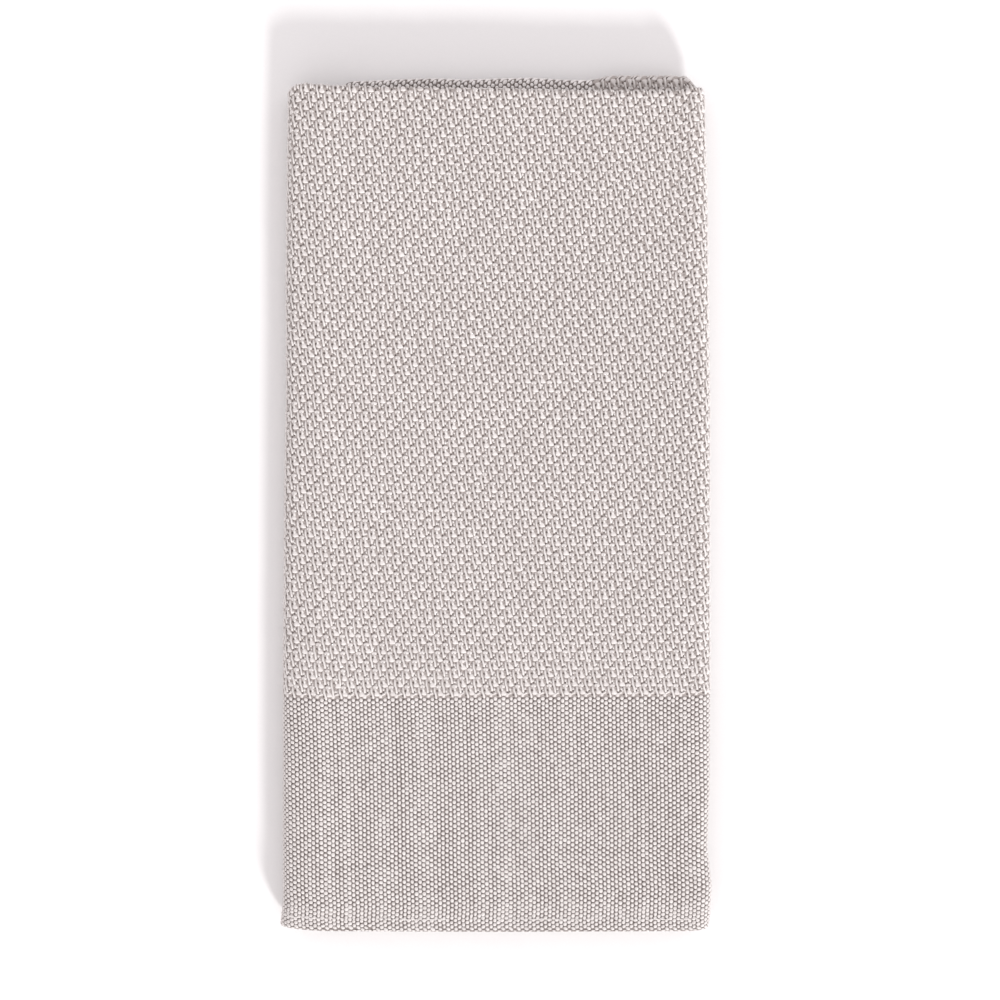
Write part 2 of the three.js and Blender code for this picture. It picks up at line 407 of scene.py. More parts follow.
@dataclass
class WeavePlan:
    """Where the yarns lie on the flat cloth, in mm."""

    fold: FoldPlan
    warp_pitch: float = 1.92
    bead_pitch: float = 2.315
    border_up: float = 114.2
    border_across: float = 127.5
    lattice_pitch: float = 8.696
    lattice_across: float = 4.08
    lattice_up: float = 1.0
    # The weft climbs by this much for each mm across, and sags by this much for each mm squared
    weft_slope: float = 0.0039
    weft_slope_gain: float = 0.0000644
    weft_sag: float = 0.0000322
    weft_sag_gain: float = 0.000000166
    middle_across: float = 300.0
    bent_across: float = 110.0
    # (distance up, how much more the weft sags for each mm squared) near the hem
    hem_sag: tuple[tuple[float, float], ...] = (
        (0, 0.00003), (12, 0.00014), (60, 0.00016), (85, 0.000087), (106, 0.000062), (133, 0),
    )  # fmt: skip
    # (place up in the even weave, place up on the cloth): beaten closer at hem and border
    rows_beaten: tuple[tuple[float, float], ...] = (
        (-4, -2.75), (14, 13.5), (32, 31.6), (53, 52.85), (74, 73.9), (96, 96), (114.2, 114.2),
        (119.2, 118.8), (124.2, 123.4), (134.2, 132.85), (144.2, 142.45), (154.2, 152.25),
        (214.2, 212.1), (274.2, 272.9), (334.2, 334.1), (394.2, 395.4), (434.2, 436.9),
    )  # fmt: skip
    # (distance up, shift across, share drawn in) of the warp
    warp_bow: tuple[tuple[float, float, float], ...] = (
        (0, 1, 0.032), (11, 0.6, 0.0296), (21, 0.13, 0.0264), (32, 0.42, 0.0231),
        (42, 0.75, 0.0195), (53, 0.47, 0.0206), (64, 0.1, 0.0223), (74, -0.17, 0.0233),
        (85, -0.4, 0.0235), (96, -0.67, 0.0225), (106, -0.95, 0.021), (115, -1.15, 0.0185),
        (133, -1.52, 0.0142), (153, -1.97, 0.0109), (172, -2.19, 0.0085), (212, -2.08, 0.0053),
        (251, -1.98, -0.0012), (271, -1.88, -0.0048), (291, -1.4, -0.007), (330, -0.5, -0.0122),
        (350, -0.08, -0.0172), (370, 0.49, -0.0222), (389, 1.27, -0.031), (405, 1.85, -0.036),
    )  # fmt: skip

    @property
    def lattice_width(self) -> float:
        """Width of one repeat of the lattice, which takes four warp yarns."""
        return 4 * self.warp_pitch

    def has(self, weave: Weave, across: Array, up: Array) -> Array:
        """True where the cloth has a weave.

        Args:
            weave: which of the two.
            across: distance from the woven edge of the lowest third.
            up: distance from the free hem.

        Returns:
            One truth a point.
        """
        inside_across = np.abs(across - self.fold.cloth_width / 2) < (
            self.fold.cloth_width / 2 - self.border_across
        )
        inside_up = np.abs(up - self.fold.cloth_length / 2) < (
            self.fold.cloth_length / 2 - self.border_up
        )
        return (inside_across & inside_up) == (weave is Weave.LATTICE)

    def _warp(self, up: Array) -> tuple[Array, Array]:
        """The warp's shift across, and the share by which it is drawn in, at places up."""
        marks, shift, drawn_in = zip(*self.warp_bow)
        return np.interp(up, marks, shift), np.interp(up, marks, drawn_in)

    def _beside(self, across: Array) -> Array:
        """How far right of the middle it is, as far as the yarns bend."""
        return np.clip(across - self.middle_across, -self.bent_across, self.bent_across)

    def _climb(self, across: Array, beaten: Array) -> Array:
        """How much higher the weft lies there than in the middle.

        Args:
            across: place across on the flat cloth.
            beaten: place up of the same yarn in the middle.

        Returns:
            The climb, in mm.
        """
        beside = self._beside(across)
        slope = self.weft_slope + self.weft_slope_gain * beaten
        sag = self.weft_sag + self.weft_sag_gain * beaten + np.interp(beaten, *zip(*self.hem_sag))
        return slope * beside - sag * beside**2

    def drawn(self, across: Array, up: Array) -> tuple[Array, Array]:
        """Moves yarn places from the even weave to where the real cloth has them.

        The rows are beaten closer near the border and at the hem, the weft climbs a little
        to the right and sags, and the warp is slightly bowed and drawn in.

        Args:
            across: place across in the even weave.
            up: place up in the even weave.

        Returns:
            The places across and up on the flat cloth.
        """
        beaten = np.interp(up, *zip(*self.rows_beaten))
        shift, drawn_in = self._warp(beaten)
        moved = across + shift - drawn_in * self._beside(across)
        return moved, beaten + self._climb(moved, beaten)

    def evened(self, across: Array, up: Array) -> tuple[Array, Array]:
        """Undoes drawn(), for the map that the finishes read.

        Args:
            across: place across on the flat cloth.
            up: place up on the flat cloth.

        Returns:
            The places across and up in the even weave.
        """
        beaten = up
        for _ in range(8):
            beaten = up - self._climb(across, beaten)
        shift, drawn_in = self._warp(beaten)
        beside = (across - shift - self.middle_across) / (1 - drawn_in)
        beside = np.clip(beside, -self.bent_across, self.bent_across)
        even, marks = zip(*self.rows_beaten)
        return across - shift + drawn_in * beside, np.interp(beaten, marks, even)


# Forms of yarn


@dataclass
class YarnForms:
    """Little closed forms of yarn on the flat cloth.

    Attributes:
        points: their points as (across, up, depth), in mm.
        faces: faces as tuples of point numbers.
        tone: one number a point, 0 for the greyest yarn and 1 for the whitest.
    """

    points: Array
    faces: list[tuple[int, ...]]
    tone: Array

    @staticmethod
    def together(parts: list["YarnForms"]) -> "YarnForms":
        """Puts several sets of forms into one.

        Args:
            parts: the sets in order.

        Returns:
            One set with all of them.
        """
        faces: list[tuple[int, ...]] = []
        start = 0
        for part in parts:
            faces += [tuple(index + start for index in face) for face in part.faces]
            start += len(part.points)
        return YarnForms(
            np.concatenate([part.points for part in parts]),
            faces,
            np.concatenate([part.tone for part in parts]),
        )

    def repeated(self, at: Array, size: Array, lean: Array, tone: Array) -> "YarnForms":
        """Repeats the forms at many places.

        Args:
            at: places as (across, up, depth), one row each.
            size: factors of size along the three axes, one row each.
            lean: how far each is turned in the cloth, in radians.
            tone: what each one's tone is multiplied by.

        Returns:
            All the repeats as one set.
        """
        scaled = self.points[None] * size[:, None]
        cos, sin = np.cos(lean)[:, None], np.sin(lean)[:, None]
        across = scaled[..., 0] * cos - scaled[..., 1] * sin
        up = scaled[..., 0] * sin + scaled[..., 1] * cos
        points = np.stack([across, up, scaled[..., 2]], axis=2) + at[:, None]
        starts = np.arange(len(at)) * len(self.points)
        faces: list[tuple[int, ...]] = []
        for face in self.faces:
            faces += [tuple(row) for row in (starts[:, None] + np.array(face)[None]).tolist()]
        tones = (self.tone[None] * tone[:, None]).ravel()
        return YarnForms(points.reshape(-1, 3), faces, tones)


def yarn_float(spine: Spine, rise: float, corners: int = 4) -> YarnForms:
    """A float of yarn that lies on the cloth and dives into it at both ends.

    Args:
        spine: its line as rows of (across, up, depth, half width).
        rise: height of its section as a share of its half width.
        corners: how many corners its section has.

    Returns:
        One closed form.
    """
    line = np.array(spine)
    ahead = np.gradient(line[:, :2], axis=0)
    ahead /= np.linalg.norm(ahead, axis=1, keepdims=True)
    side = np.stack([ahead[:, 1], -ahead[:, 0]], axis=1)
    turns = np.arange(corners) * 2 * math.pi / corners
    wide, high = np.cos(turns), rise * np.sin(turns)
    points = [line[:1, :3]]
    for (across, up, depth, half), (right_across, right_up) in zip(line[1:-1], side[1:-1]):
        beside = half * wide
        ring = [across + beside * right_across, up + beside * right_up, depth + half * high]
        points.append(np.stack(ring, axis=1))
    points.append(line[-1:, :3])
    rings, count = len(line) - 2, corners * (len(line) - 2) + 2
    faces: list[tuple[int, ...]] = []
    for corner in range(corners):
        after = (corner + 1) % corners
        faces.append((0, 1 + after, 1 + corner))
        for ring in range(rings - 1):
            here, there = 1 + corners * ring, 1 + corners * (ring + 1)
            faces.append((here + corner, here + after, there + after, there + corner))
        last = 1 + corners * (rings - 1)
        faces.append((count - 1, last + corner, last + after))
    return YarnForms(np.concatenate(points), faces, np.ones(count))


def yarn_dome(outline: Array, rise: float, sunk: float) -> YarnForms:
    """A low closed dome of yarn over an outline, nearly flat on top.

    Args:
        outline: corners of its foot as (across, up), counter-clockwise.
        rise: height of its top over the ground.
        sunk: how deep its foot is in the ground.

    Returns:
        One closed form.
    """
    corners, middle = len(outline), outline.mean(axis=0)
    rings = [np.column_stack([outline, np.full(corners, -sunk)])]
    for share, height in DOME_RINGS:
        ring = middle + share * (outline - middle)
        rings.append(np.column_stack([ring, np.full(corners, height * rise)]))
    points = np.concatenate([*rings, [[*middle, rise]]])
    faces: list[tuple[int, ...]] = [tuple(range(corners - 1, -1, -1))]
    for corner in range(corners):
        after = (corner + 1) % corners
        for start in range(0, corners * len(DOME_RINGS), corners):
            above = start + corners
            faces.append((start + corner, start + after, above + after, above + corner))
        last = corners * len(DOME_RINGS)
        faces.append((last + corner, last + after, len(points) - 1))
    return YarnForms(points, faces, np.ones(len(points)))


def yarn_bead(half_across: float, half_up: float, rise: float, sunk: float) -> YarnForms:
    """The top of a warp yarn where it passes over the weft.

    Args:
        half_across: half its width.
        half_up: half its length.
        rise: height of its top over the ground.
        sunk: how deep its foot is in the ground.

    Returns:
        One closed form with six sides, as its six neighbours leave it room.
    """
    shoulder_across = 0.52 * half_across
    right = [(shoulder_across, -half_up), (half_across, 0.0), (shoulder_across, half_up)]
    left = [(-across, -up) for across, up in right]
    return yarn_dome(np.array(right + left), rise, sunk)


# Shader nodes


class NodeSheet:
    """The node tree of one material, with short ways to add nodes."""

    def __init__(self, name: str) -> None:
        """Starts a material with a plain shader.

        Args:
            name: the material's name.
        """
        self.material = bpy.data.materials.new(name)
        self.material.use_nodes = True
        self.tree = self.material.node_tree
        self.shader = self.tree.nodes["Principled BSDF"]

    def put(self, socket: bpy.types.NodeSocket, value: Value | tuple[float, ...]) -> None:
        """Sets a socket to a value, or links it.

        Args:
            socket: the input that is set.
            value: a plain value, or the output that feeds it.
        """
        if isinstance(value, bpy.types.NodeSocket):
            self.tree.links.new(value, socket)
        else:
            socket.default_value = value

    def add(self, kind: str, **settings: object) -> bpy.types.Node:
        """Adds a node and sets its properties.

        Args:
            kind: Blender's name of the node's type.
            settings: its properties by name.

        Returns:
            The node.
        """
        node = self.tree.nodes.new(kind)
        for name, value in settings.items():
            setattr(node, name, value)
        return node

    def math(self, operation: str, *values: Value) -> bpy.types.NodeSocket:
        """Adds a math node.

        Args:
            operation: what it does, in Blender's word.
            values: its inputs.

        Returns:
            Its output.
        """
        node = self.add("ShaderNodeMath", operation=operation)
        for socket, value in zip(node.inputs, values):
            self.put(socket, value)
        return node.outputs[0]

    def smooth(
        self, value: Value, low: float, high: float, to: tuple[float, float] = (0, 1)
    ) -> bpy.types.NodeSocket:
        """Maps a value smoothly from one range to another.

        Args:
            value: what is mapped.
            low: where it starts to change.
            high: where it stops.
            to: the results at the two places.

        Returns:
            The mapped value.
        """
        node = self.add("ShaderNodeMapRange", interpolation_type="SMOOTHSTEP")
        for name, given in {
            "Value": value,
            "From Min": low,
            "From Max": high,
            "To Min": to[0],
            "To Max": to[1],
        }.items():
            self.put(node.inputs[name], given)
        return node.outputs["Result"]

    def uneven(self, noise: Value, to: tuple[float, float]) -> bpy.types.NodeSocket:
        """Maps the range in which a noise mostly lies."""
        return self.smooth(noise, 0.3, 0.7, to)

    def blend(self, share: Value, low: Value | tuple, high: Value | tuple) -> bpy.types.NodeSocket:
        """Mixes two colours.

        Args:
            share: how much of the second.
            low: the first colour.
            high: the second colour.

        Returns:
            The mixed colour.
        """
        node = self.add("ShaderNodeMix", data_type="RGBA")
        self.put(node.inputs["Factor"], share)
        self.put(node.inputs["A"], low)
        self.put(node.inputs["B"], high)
        return node.outputs["Result"]

    def cloth_place(
        self, per_mm: tuple[float, float], size: tuple[float, float]
    ) -> bpy.types.NodeSocket:
        """Place on the flat cloth, from the map that every piece carries.

        Args:
            per_mm: how many units a millimetre is, across and up.
            size: width and length of the flat cloth.

        Returns:
            A vector for texture nodes.
        """
        place = self.add("ShaderNodeUVMap", uv_map="cloth").outputs["UV"]
        node = self.add("ShaderNodeMapping")
        self.put(node.inputs["Vector"], place)
        node.inputs["Scale"].default_value = (per_mm[0] * size[0], per_mm[1] * size[1], 1)
        return node.outputs["Vector"]

    def near_spot(
        self, place: tuple[Value, Value], plan: WeavePlan, spot: tuple[float, float, float]
    ) -> bpy.types.NodeSocket:
        """How near a place is to a spot that repeats with the lattice, half dropped.

        Args:
            place: places across and up from the motif's own corner, in mm.
            plan: pitches of the yarns.
            spot: the spot's place across and up, and its reach.

        Returns:
            1 at the spot and 0 beyond its reach.
        """
        found = []
        for drop in (0.0, 0.5):
            squares = []
            for value, repeat, middle in (
                (place[0], plan.lattice_width, spot[0]),
                (place[1], plan.lattice_pitch, spot[1]),
            ):
                off = self.math("SUBTRACT", value, middle + drop * repeat)
                near = self.math("WRAP", off, repeat / 2, -repeat / 2)
                squares.append(self.math("MULTIPLY", near, near))
            far = self.math("SQRT", self.math("ADD", *squares))
            found.append(self.smooth(far, 0.35 * spot[2], 1.35 * spot[2], (1, 0)))
        return self.math("MAXIMUM", *found)

    def noise(self, vector: Value, scale: float, detail: float = 2.0) -> bpy.types.NodeSocket:
        """Adds a noise texture and gives its value.

        Args:
            vector: where the noise is read.
            scale: how fine it is.
            detail: how many finer layers it has.

        Returns:
            Its value, mostly between 0.3 and 0.7.
        """
        node = self.add("ShaderNodeTexNoise")
        self.put(node.inputs["Vector"], vector)
        node.inputs["Scale"].default_value = scale
        node.inputs["Detail"].default_value = detail
        return node.outputs["Fac"]

    def tone(self) -> bpy.types.NodeSocket:
        """The tone that every yarn carries."""
        return self.add("ShaderNodeAttribute", attribute_name="yarn_tone").outputs["Fac"]

    def bump(self, height: Value, strength: float, distance: float) -> None:
        """Puts a bump on the shader.

        Args:
            height: the height that shows.
            strength: how strongly.
            distance: how high, in mm.
        """
        node = self.add("ShaderNodeBump")
        node.inputs["Strength"].default_value = strength
        node.inputs["Distance"].default_value = distance * MM
        self.put(node.inputs["Height"], height)
        self.put(self.shader.inputs["Normal"], node.outputs["Normal"])


# Finishes


@dataclass(frozen=True)
class WarpCotton:
    """Near-white cotton yarn of the warp, with its fibres along it."""

    name: str = "warp_cotton"
    white: Colour = (0.812, 0.78, 0.76, 1)
    grey: Colour = (0.50, 0.46, 0.44, 1)
    sheen: float = 0.1

    def made(self, size: tuple[float, float]) -> bpy.types.Material:
        """Builds the material.

        Args:
            size: width and length of the flat cloth.

        Returns:
            The material.
        """
        sheet = NodeSheet(self.name)
        fibres = sheet.noise(sheet.cloth_place((5.0, 1.1), size), 1.0, 3.0)
        plies = sheet.noise(sheet.cloth_place((1.5, 0.8), size), 1.0, 1.0)
        lots = sheet.noise(sheet.cloth_place((0.05, 0.03), size), 1.0, 2.0)
        tone: Value = sheet.tone()
        for part, shades in ((fibres, (0.88, 1.03)), (plies, (0.76, 1.08)), (lots, (0.95, 1.02))):
            tone = sheet.math("MULTIPLY", tone, sheet.uneven(part, shades))
        sheet.put(sheet.shader.inputs["Base Color"], sheet.blend(tone, self.grey, self.white))
        sheet.put(sheet.shader.inputs["Roughness"], sheet.uneven(fibres, (0.95, 0.82)))
        sheet.shader.inputs["Sheen Weight"].default_value = self.sheen
        sheet.bump(fibres, 0.5, 0.12)
        return sheet.material


@dataclass(frozen=True)
class WeftGround:
    """Grey-taupe weft yarns that show between the warp's beads and floats, with painted shade in
    the pits between them.
    """

    # The weft's colour where light reaches it, and the dark colour of painted shade in the pits
    # between the yarns
    lit: Colour = (0.50, 0.453, 0.43, 1)
    deep: Colour = (0.115, 0.095, 0.087, 1)
    sheen: float = 0.1
    # Painted shade on the weft in the plain border: how far right of a column's left edge it is
    # darkest, and how dark it stays away from that spot
    gap_left: float = 0.14
    gap_painted_shade: float = 0.5
    # Spots of painted shade where the weft dives under in the lattice: across, up, reach, how dark
    dives: tuple[tuple[float, float, float, float], ...] = (
        (1.21, -1.70, 0.60, 1.0),
        (3.69, 0.12, 0.60, 1.0),
        (4.74, -2.91, 0.55, 1.0),
        (2.09, -6.51, 0.55, 0.95),
        (2.96, -4.98, 0.50, 0.6),
        (1.70, -3.89, 0.50, 0.7),
        (3.88, -1.30, 0.60, 0.4),
    )

    def _plain_painted_shade(self, sheet: NodeSheet, plan: WeavePlan, across: Value, up: Value) -> Value:
        """Painted shade on the weft in the plain border: darkest just left of the gap between two
        beads, where the beads' shade falls.

        Args:
            sheet: the material's nodes.
            plan: pitches of the yarns.
            across: place across, in mm.
            up: place up, in mm.

        Returns:
            1 where the painted shade is darkest, falling to a lighter share away from that spot.
        """
        column = sheet.math("DIVIDE", across, plan.warp_pitch)
        odd = sheet.math("PINGPONG", sheet.math("FLOOR", column), 1.0)
        row = sheet.math("DIVIDE", up, plan.bead_pitch)
        row = sheet.math("ADD", row, sheet.math("MULTIPLY", odd, 0.5))
        from_gap = sheet.math("WRAP", row, 0.5, -0.5)
        off_up = sheet.math("MULTIPLY", from_gap, plan.bead_pitch)
        from_left = sheet.math("MULTIPLY", sheet.math("FRACT", column), plan.warp_pitch)
        off_across = sheet.math("SUBTRACT", from_left, self.gap_left)
        squares = [sheet.math("MULTIPLY", off, off) for off in (off_across, off_up)]
        far = sheet.math("SQRT", sheet.math("ADD", *squares))
        return sheet.smooth(far, 0.2, 1.0, (1, self.gap_painted_shade))

    def _lattice_painted_shade(self, sheet: NodeSheet, plan: WeavePlan, across: Value, up: Value) -> Value:
        """Painted shade on the weft in the lattice, in the pits where the floats' shade falls.

        Args:
            sheet: the material's nodes.
            plan: pitches of the yarns.
            across: place across, in mm.
            up: place up, in mm.

        Returns:
            0 where no painted shade lies, up to 1 where it is darkest.
        """
        place = (
            sheet.math("SUBTRACT", across, plan.lattice_across),
            sheet.math("SUBTRACT", up, plan.border_up + plan.lattice_up),
        )
        depth: Value = 0.0
        for *spot, dark in self.dives:
            near = sheet.math("MULTIPLY", sheet.near_spot(place, plan, tuple(spot)), dark)
            depth = sheet.math("MAXIMUM", depth, near)
        return depth

    def made(self, size: tuple[float, float], plan: WeavePlan) -> bpy.types.Material:
        """Builds the material.

        Args:
            size: width and length of the flat cloth.
            plan: pitches of the yarns.

        Returns:
            The material.
        """
        sheet = NodeSheet("weft_ground")
        parts = sheet.add("ShaderNodeSeparateXYZ")
        sheet.put(parts.inputs[0], sheet.cloth_place((1, 1), size))
        across, up = parts.outputs["X"], parts.outputs["Y"]
        # Painted shade of the pits between the yarns, in the border and in the lattice
        plain = self._plain_painted_shade(sheet, plan, across, up)
        lattice = self._lattice_painted_shade(sheet, plan, across, up)
        from_edge = sheet.math("PINGPONG", across, size[0] / 2)
        centre = sheet.math(
            "MULTIPLY",
            sheet.math("GREATER_THAN", up, plan.border_up),
            sheet.math("GREATER_THAN", from_edge, plan.border_across),
        )
        picked = sheet.add("ShaderNodeMix", data_type="FLOAT")
        for name, value in {"Factor": centre, "A": plain, "B": lattice}.items():
            sheet.put(picked.inputs[name], value)
        depth = picked.outputs["Result"]
        fibres = sheet.noise(sheet.cloth_place((1.1, 4.0), size), 1.0, 3.0)
        # The weft is darkened towards the deep colour by this painted shade
        unshaded = sheet.math("SUBTRACT", 1.0, depth)
        light = sheet.math("MULTIPLY", unshaded, sheet.uneven(fibres, (0.7, 1.0)))
        sheet.put(sheet.shader.inputs["Base Color"], sheet.blend(light, self.deep, self.lit))
        sheet.put(sheet.shader.inputs["Roughness"], sheet.uneven(fibres, (0.97, 0.85)))
        sheet.shader.inputs["Sheen Weight"].default_value = self.sheen
        sheet.bump(fibres, 0.5, 0.15)
        return sheet.material


@dataclass(frozen=True)
class WovenFace:
    """The whole weave in one finish, for the faces that lie hidden in the folds."""

    white: Colour = (0.86, 0.82, 0.80, 1)
    grey: Colour = (0.34, 0.29, 0.27, 1)
    sheen: float = 0.15
    # Half width and half length of a bead, as shares of the pitches
    bead_half: tuple[float, float] = (0.43, 0.45)

    def made(self, size: tuple[float, float], plan: WeavePlan) -> bpy.types.Material:
        """Builds the material.

        Args:
            size: width and length of the flat cloth.
            plan: pitches of the yarns.

        Returns:
            The material.
        """
        sheet = NodeSheet("woven_face")
        per_mm = (1 / plan.warp_pitch, 1 / plan.bead_pitch)
        parts = sheet.add("ShaderNodeSeparateXYZ")
        sheet.put(parts.inputs[0], sheet.cloth_place(per_mm, size))
        column, row = parts.outputs["X"], parts.outputs["Y"]
        odd = sheet.math("MULTIPLY", sheet.math("PINGPONG", sheet.math("FLOOR", column), 1.0), 0.5)
        beside = sheet.math("SUBTRACT", sheet.math("FRACT", column), 0.5)
        above = sheet.math("SUBTRACT", sheet.math("FRACT", sheet.math("ADD", row, odd)), 0.5)
        squares = [
            sheet.math("POWER", sheet.math("DIVIDE", off, half), 2.0)
            for off, half in zip((beside, above), self.bead_half)
        ]
        far = sheet.math("SQRT", sheet.math("ADD", *squares))
        bead = sheet.smooth(far, 0.75, 1.05, (1, 0))
        fibres = sheet.noise(sheet.cloth_place((5.0, 1.1), size), 1.0, 3.0)
        light = sheet.math("MULTIPLY", bead, sheet.uneven(fibres, (0.88, 1.0)))
        sheet.put(sheet.shader.inputs["Base Color"], sheet.blend(light, self.grey, self.white))
        sheet.put(sheet.shader.inputs["Roughness"], sheet.uneven(fibres, (0.95, 0.85)))
        sheet.shader.inputs["Sheen Weight"].default_value = self.sheen
        sheet.bump(sheet.smooth(far, 0.0, 1.1, (1, 0)), 0.8, 0.4)
        return sheet.material


@dataclass(frozen=True)
class FloorPaper:
    """Plain white paper of the floor."""

    white: Colour = (0.92, 0.915, 0.91, 1)
    shade: float = 0.99
    grains_per_m: float = 900.0

    def made(self) -> bpy.types.Material:
        """Builds the material.

        Returns:
            The material.
        """
        sheet = NodeSheet("floor_paper")
        grain = sheet.noise(sheet.add("ShaderNodeTexCoord").outputs["Object"], self.grains_per_m)
        tint = sheet.uneven(grain, (0, 1))
        shade = tuple(self.shade * part for part in self.white[:3]) + (1,)
        sheet.put(sheet.shader.inputs["Base Color"], sheet.blend(tint, shade, self.white))
        sheet.shader.inputs["Roughness"].default_value = 0.95
        return sheet.material


# Pieces of the towel


@dataclass
class TowelPiece:
    """One piece of the towel that is laid out on the flat cloth and folded with it."""

    fold: FoldPlan
    plan: WeavePlan

    def folded(self, name: str, forms: YarnForms) -> bpy.types.Object:
        """Folds forms of the flat cloth and makes one object of them.

        Args:
            name: the object's name.
            forms: what is folded.

        Returns:
            The object, smooth, with its map of the flat cloth and its yarns' tones.
        """
        across, up, depth = forms.points.T
        mesh = bpy.data.meshes.new(name)
        mesh.from_pydata((self.fold.place(across, up, depth) * MM).tolist(), [], forms.faces)
        mesh.polygons.foreach_set("use_smooth", np.ones(len(mesh.polygons), bool))
        corners = np.zeros(len(mesh.loops), np.int32)
        mesh.loops.foreach_get("vertex_index", corners)
        even = self.plan.evened(across, up)
        places = np.column_stack(
            [even[0] / self.fold.cloth_width, even[1] / self.fold.cloth_length]
        )
        layer = mesh.uv_layers.new(name="cloth")
        layer.uv.foreach_set("vector", places[corners].astype(np.float32).ravel())
        tones = mesh.attributes.new("yarn_tone", "FLOAT", "POINT")
        tones.data.foreach_set("value", forms.tone.astype(np.float32))
        mesh.validate()
        mesh.update()
        piece = bpy.data.objects.new(name, mesh)
        bpy.context.scene.collection.objects.link(piece)
        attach(piece, BODY)
        log.info("%s: %d faces", name, len(mesh.polygons))
        return piece

    @property
    def size(self) -> tuple[float, float]:
        """Width and length of the flat cloth."""
        return self.fold.cloth_width, self.fold.cloth_length


@dataclass
class GroundCloth(TowelPiece):
    """The cloth itself: a closed sheet whose front face lies under the warp's beads."""

    face_depth: float = 0.68
    steps_across: tuple[int, ...] = (22, 18, 2, 4, 44, 16, 50)
    steps_up: tuple[int, ...] = (60, 10, 50, 10, 50)

    def _stations_up(self) -> Array:
        """Distances up the flat cloth at which the sheet has a row of points.

        Returns:
            The distances in order.
        """
        marks = [0.0]
        ends = [self.fold.up.starts[i][3] for i in range(len(self.steps_up))]
        ends.append(self.fold.cloth_length)
        for low, high, steps in zip(ends, ends[1:], self.steps_up):
            marks += list(np.linspace(low, high, steps + 1)[1:])
        fold = self.fold
        hem, step, length = fold.hem_depth, fold.hem_step, fold.cloth_length
        marks += [hem, hem + step, length - hem, length - hem - step]
        near = [mark for mark in marks if 0 < mark < hem + step - 0.01]
        near += [mark for mark in marks if length - hem - step + 0.01 < mark < length]
        kept = set(marks) - set(near) | {hem, length - hem}
        return np.array([fold.hem_edge_up, *sorted(kept)[1:]])

    def _back_depth(self, up: Array) -> Array:
        """Depth of the back face, which stands out where a hem is turned in.

        Args:
            up: distances up the flat cloth.

        Returns:
            Depths, below zero.
        """
        fold = self.fold
        half, length = fold.cloth / 2, fold.cloth_length
        free_end = [fold.hem_depth, fold.hem_depth + fold.hem_step]
        front = np.interp(up, free_end, [fold.hem_extra, 0])
        low, high = length - fold.hem_depth - fold.hem_step, length - fold.hem_depth
        return -half - front - np.interp(up, [low, high], [0, fold.pressed_hem_extra])

    def build(self) -> bpy.types.Object:
        """Builds and dresses the sheet.

        Returns:
            The cloth, which stands for the frame's solid.
        """
        up = self._stations_up()
        layer = self.fold.layer_of(up)
        back = self._back_depth(up)
        columns = [self.fold.across.distance(0, 0.0, layer)]
        for index, steps in enumerate(self.steps_across):
            for step in range(1, steps + 1):
                columns.append(self.fold.across.distance(index, step / steps, layer))
        across = np.array(columns)
        wide, long = across.shape
        grids = []
        for depth in (np.full(long, self.face_depth), back):
            rows = [across, np.broadcast_to(up, across.shape), np.broadcast_to(depth, across.shape)]
            grids.append(np.stack(rows, axis=2).reshape(-1, 3))
        points = np.concatenate(grids)
        i, j = np.indices((wide - 1, long - 1)).reshape(2, -1)
        a, b, c, d = i * long + j, (i + 1) * long + j, (i + 1) * long + j + 1, i * long + j + 1
        behind = wide * long
        faces = np.concatenate(
            [
                np.column_stack([a, b, c, d]),
                np.column_stack([d, c, b, a]) + behind,
                self._rim(wide, long, behind),
            ]
        )
        sheet = YarnForms(points, [tuple(face) for face in faces.tolist()], np.ones(len(points)))
        cloth = self.folded("towel_ground_cloth", sheet)
        self._dress(cloth, points, faces)
        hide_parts(CLOTH_NODE)
        return cloth

    @staticmethod
    def _rim(wide: int, long: int, behind: int) -> Array:
        """Faces of the four narrow edges.

        Args:
            wide: how many points the grid has across.
            long: how many it has up.
            behind: number of the back grid's first point.

        Returns:
            Faces with four corners, one row each.
        """
        k = np.arange(wide - 1) * long
        low = np.column_stack([k, k + behind, k + long + behind, k + long])
        k = k + long - 1
        high = np.column_stack([k, k + long, k + long + behind, k + behind])
        j = np.arange(long - 1)
        left = np.column_stack([j, j + 1, j + 1 + behind, j + behind])
        j = j + (wide - 1) * long
        right = np.column_stack([j, j + behind, j + 1 + behind, j + 1])
        return np.concatenate([low, high, left, right])

    def _dress(self, cloth: bpy.types.Object, points: Array, faces: Array) -> None:
        """Gives the sheet its two finishes.

        Args:
            cloth: the object.
            points: its points on the flat cloth.
            faces: its faces.
        """
        cloth.data.materials.append(WeftGround().made(self.size, self.plan))
        cloth.data.materials.append(WovenFace().made(self.size, self.plan))
        middle = points[faces].mean(axis=1)
        under_yarns = (middle[:, 2] > 0) & covered_by_yarns(self.fold, middle[:, 0], middle[:, 1])
        finishes = np.where(under_yarns, 0, 1).astype(np.int32)
        cloth.data.polygons.foreach_set("material_index", finishes)


# Ranges of the flat cloth whose faces show: across and up on the front, and up at the top folds
FRONT_ACROSS = (180, 411.5)
FRONT_UP = 418
TOP_FOLD_UP = (404, 420)
# What lies lower than this shows from nowhere
LEAST_HEIGHT = 0.55


def covered_by_yarns(fold: FoldPlan, across: Array, up: Array) -> Array:
    """True where single yarns lie on the ground: every face that shows from outside.

    Args:
        fold: how the cloth is folded.
        across: places across the flat cloth.
        up: places up the flat cloth.

    Returns:
        One truth a point.
    """
    front = (across > FRONT_ACROSS[0]) & (across < FRONT_ACROSS[1]) & (up < FRONT_UP)
    top_fold = (up > TOP_FOLD_UP[0]) & (up < TOP_FOLD_UP[1])
    height = fold.place(across, up, np.full_like(across, fold.cloth / 2))[:, 2]
    return (front | top_fold) & (height > LEAST_HEIGHT)


